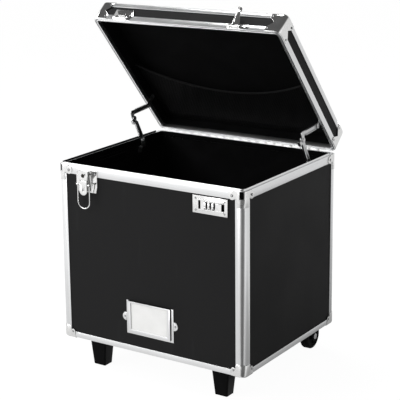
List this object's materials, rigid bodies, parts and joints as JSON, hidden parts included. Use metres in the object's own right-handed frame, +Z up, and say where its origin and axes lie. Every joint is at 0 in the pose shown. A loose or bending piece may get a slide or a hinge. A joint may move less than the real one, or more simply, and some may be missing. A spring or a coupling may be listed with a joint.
{
  "type": "portable file box",
  "caption": "Rolling file box of black laminate in an aluminium frame, hinged lid with mesh pocket and folding stays, key latch, combination lock, label holder, feet, wheels and tow handle",
  "frame": {"origin": "on the floor, under the middle of the bounding box", "axes": "+Z up, -Y the front with the locks and the label, +X to the right of a person who faces the front"},
  "size_m": [0.3982, 0.401, 0.6751],
  "materials": {
    "laminate": "black textured laminate on board",
    "aluminium": "satin anodised aluminium section",
    "nickel": "bright plated steel",
    "steel": "zinc plated steel",
    "lining": "black flock lining",
    "mesh": "black mesh fabric",
    "black_plastic": "black moulded plastic",
    "grey_plastic": "grey moulded plastic",
    "tyre": "solid rubber tyre",
    "card": "white card",
    "brass": "brass key plug"
  },
  "bodies": {
    "case": {"front_panel": "laminate", "back_panel": "laminate", "left_panel": "laminate", "right_panel": "laminate", "bottom_panel": "laminate", "corner_posts": "aluminium", "bottom_edge_rails": "aluminium", "body_rim_rail": "aluminium", "body_lining": "lining", "file_rails": "black_plastic", "rim_corner_braces": "nickel", "bottom_corner_caps": "nickel", "body_rivets": "steel", "front_feet": "black_plastic", "wheel_brackets": "steel", "wheel_axles": "steel", "handle_outer_tubes": "aluminium", "handle_upper_bracket": "black_plastic", "handle_lower_bracket": "black_plastic", "hinge_body_leaves": "nickel", "hinge_pins": "steel", "stay_body_brackets": "steel", "key_latch_base": "nickel", "combination_plate": "nickel", "combination_case": "black_plastic", "label_frame": "nickel", "label_card": "card"},
    "lid": {"lid_top_panel": "laminate", "lid_side_panels": "laminate", "lid_top_rail": "aluminium", "lid_rim_rail": "aluminium", "lid_lining": "lining", "lid_corner_caps": "nickel", "lid_rivets": "steel", "mesh_pocket": "mesh", "pocket_hem": "mesh", "hinge_lid_leaves": "nickel", "stay_lid_brackets": "steel", "lid_catch": "nickel", "hasp_base": "nickel"},
    "left_stay_lower": {"left_stay_lower_link": "steel"},
    "right_stay_lower": {"right_stay_lower_link": "steel"},
    "left_stay_upper": {"left_stay_upper_link": "steel"},
    "right_stay_upper": {"right_stay_upper_link": "steel"},
    "left_wheel": {"left_tyre": "tyre", "left_wheel_hub": "black_plastic"},
    "right_wheel": {"right_tyre": "tyre", "right_wheel_hub": "black_plastic"},
    "handle_middle_stage": {"handle_middle_tubes": "aluminium"},
    "handle_inner_stage": {"handle_inner_tubes": "aluminium", "handle_grip": "black_plastic"},
    "release_button": {"handle_button": "grey_plastic"},
    "latch_lever": {"key_latch_lever": "nickel"},
    "latch_loop": {"key_latch_loop": "nickel"},
    "key_plug": {"key_lock_cylinder": "steel"},
    "dial_1": {"combination_dial_1": "grey_plastic"},
    "dial_2": {"combination_dial_2": "grey_plastic"},
    "dial_3": {"combination_dial_3": "grey_plastic"},
    "slide": {"lock_slide": "nickel"},
    "hasp_arm": {"hasp": "nickel"}
  },
  "joints": [
    {"name": "lid_hinge", "type": "hinge", "parent": "case", "child": "lid", "pos_m": [0, 0.14562, 0.38615], "axis": [1, 0, 0], "range_deg": [0, 49]},
    {"name": "left_stay_lower_pivot", "type": "hinge", "parent": "case", "child": "left_stay_lower", "pos_m": [-0.1857, 0.06174, 0.38175], "axis": [1, 0, 0], "range_deg": [0, 63.85]},
    {"name": "left_stay_upper_pivot", "type": "hinge", "parent": "lid", "child": "left_stay_upper", "pos_m": [-0.1876, 0.08727, 0.44657], "axis": [1, 0, 0], "range_deg": [-63.85, 0]},
    {"name": "right_stay_lower_pivot", "type": "hinge", "parent": "case", "child": "right_stay_lower", "pos_m": [0.1857, 0.06174, 0.38175], "axis": [1, 0, 0], "range_deg": [0, 63.85]},
    {"name": "right_stay_upper_pivot", "type": "hinge", "parent": "lid", "child": "right_stay_upper", "pos_m": [0.1876, 0.08727, 0.44657], "axis": [1, 0, 0], "range_deg": [-63.85, 0]},
    {"name": "latch_lever_hinge", "type": "hinge", "parent": "case", "child": "latch_lever", "pos_m": [-0.132, -0.19788, 0.363], "axis": [-1, 0, 0], "range_deg": [0, 70]},
    {"name": "latch_loop_swing", "type": "hinge", "parent": "latch_lever", "child": "latch_loop", "pos_m": [-0.132, -0.19788, 0.357], "axis": [-1, 0, 0], "range_deg": [0, 100]},
    {"name": "key_turn", "type": "hinge", "parent": "case", "child": "key_plug", "pos_m": [-0.132, -0.19978, 0.37345], "axis": [0, 1, 0], "range_deg": [0, 90]},
    {"name": "dial_1_spin", "type": "hinge", "parent": "case", "child": "dial_1", "pos_m": [0.1218, -0.18468, 0.353], "axis": [1, 0, 0], "continuous": true},
    {"name": "dial_2_spin", "type": "hinge", "parent": "case", "child": "dial_2", "pos_m": [0.1295, -0.18468, 0.353], "axis": [1, 0, 0], "continuous": true},
    {"name": "dial_3_spin", "type": "hinge", "parent": "case", "child": "dial_3", "pos_m": [0.1372, -0.18468, 0.353], "axis": [1, 0, 0], "continuous": true},
    {"name": "lock_slide_travel", "type": "slide", "parent": "case", "child": "slide", "axis": [1, 0, 0], "range_m": [0, 0.004], "stiffness_N_per_m": 200, "springref_m": -0.002},
    {"name": "hasp_swing", "type": "hinge", "parent": "lid", "child": "hasp_arm", "pos_m": [0.1094, -0.07195, 0.64262], "axis": [1, 0, 0], "range_deg": [0, 161]},
    {"name": "left_wheel_spin", "type": "hinge", "parent": "case", "child": "left_wheel", "pos_m": [-0.157, 0.12202, 0.025], "axis": [1, 0, 0], "continuous": true},
    {"name": "right_wheel_spin", "type": "hinge", "parent": "case", "child": "right_wheel", "pos_m": [0.157, 0.12202, 0.025], "axis": [1, 0, 0], "continuous": true},
    {"name": "handle_middle_slide", "type": "slide", "parent": "case", "child": "handle_middle_stage", "axis": [0, 0, 1], "range_m": [0, 0.23]},
    {"name": "handle_inner_slide", "type": "slide", "parent": "handle_middle_stage", "child": "handle_inner_stage", "axis": [0, 0, 1], "range_m": [0, 0.23]},
    {"name": "release_button_press", "type": "slide", "parent": "handle_inner_stage", "child": "release_button", "axis": [0, 0, -1], "range_m": [0, 0.0025], "stiffness_N_per_m": 400, "springref_m": -0.001}
  ],
  "couplings": [
    {"joint": "left_stay_lower_pivot", "follows": "lid_hinge", "ratio": 1.302},
    {"joint": "left_stay_upper_pivot", "follows": "lid_hinge", "ratio": -1.302},
    {"joint": "right_stay_lower_pivot", "follows": "lid_hinge", "ratio": 1.302},
    {"joint": "right_stay_upper_pivot", "follows": "lid_hinge", "ratio": -1.302}
  ]
}
